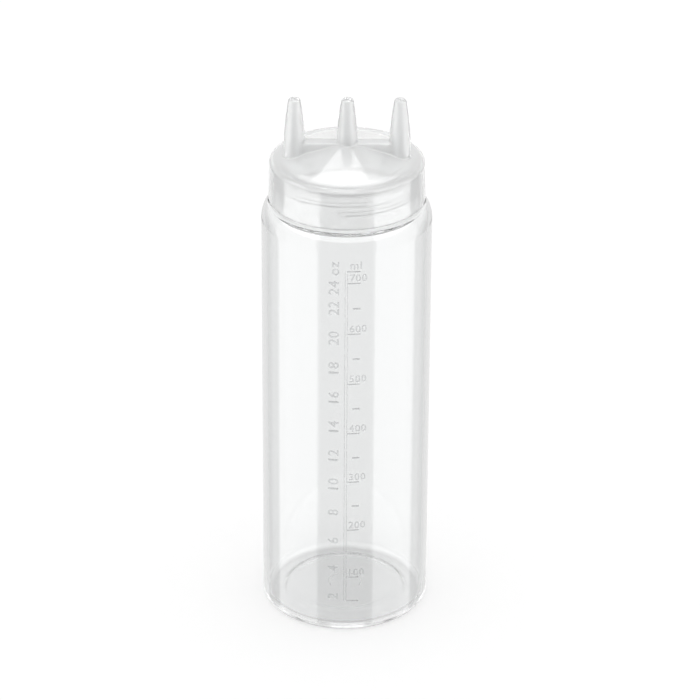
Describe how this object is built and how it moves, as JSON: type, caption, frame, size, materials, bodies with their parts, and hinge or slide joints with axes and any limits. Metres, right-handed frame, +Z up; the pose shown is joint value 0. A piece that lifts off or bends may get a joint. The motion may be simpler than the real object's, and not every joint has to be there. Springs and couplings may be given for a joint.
{
  "type": "sauce squeeze bottle with nozzle cap",
  "caption": "Clear squeeze bottle for sauce with a graduated cylindrical body, a wide threaded neck and a screw cap whose tapered nozzles stand in a row on a web.",
  "frame": {"origin": "middle of the circle that the bottle stands on", "axes": "+Z up the bottle's axis, the nozzles in a row along X, the graduated front facing -Y"},
  "size_m": [0.076, 0.076, 0.2512],
  "materials": {
    "clear_body": "clear moulded plastic, glossy inside and out",
    "clear_cap": "clear moulded plastic, slightly milky, glossy",
    "soft_seal": "soft translucent silicone, satin"
  },
  "bodies": {
    "body": {"bottle": "clear_body"},
    "seal": {"sealing_ring": "soft_seal"},
    "cap": {"nozzle_cap": "clear_cap"}
  },
  "joints": [
    {"name": "cap_lift", "type": "slide", "parent": "body", "child": "seal", "axis": [0, 0, 1], "range_m": [0, 0.04]},
    {"name": "cap_turn", "type": "hinge", "parent": "seal", "child": "cap", "pos_m": [0, 0, 0.22], "axis": [0, 0, 1], "range_deg": [0, 396]}
  ]
}
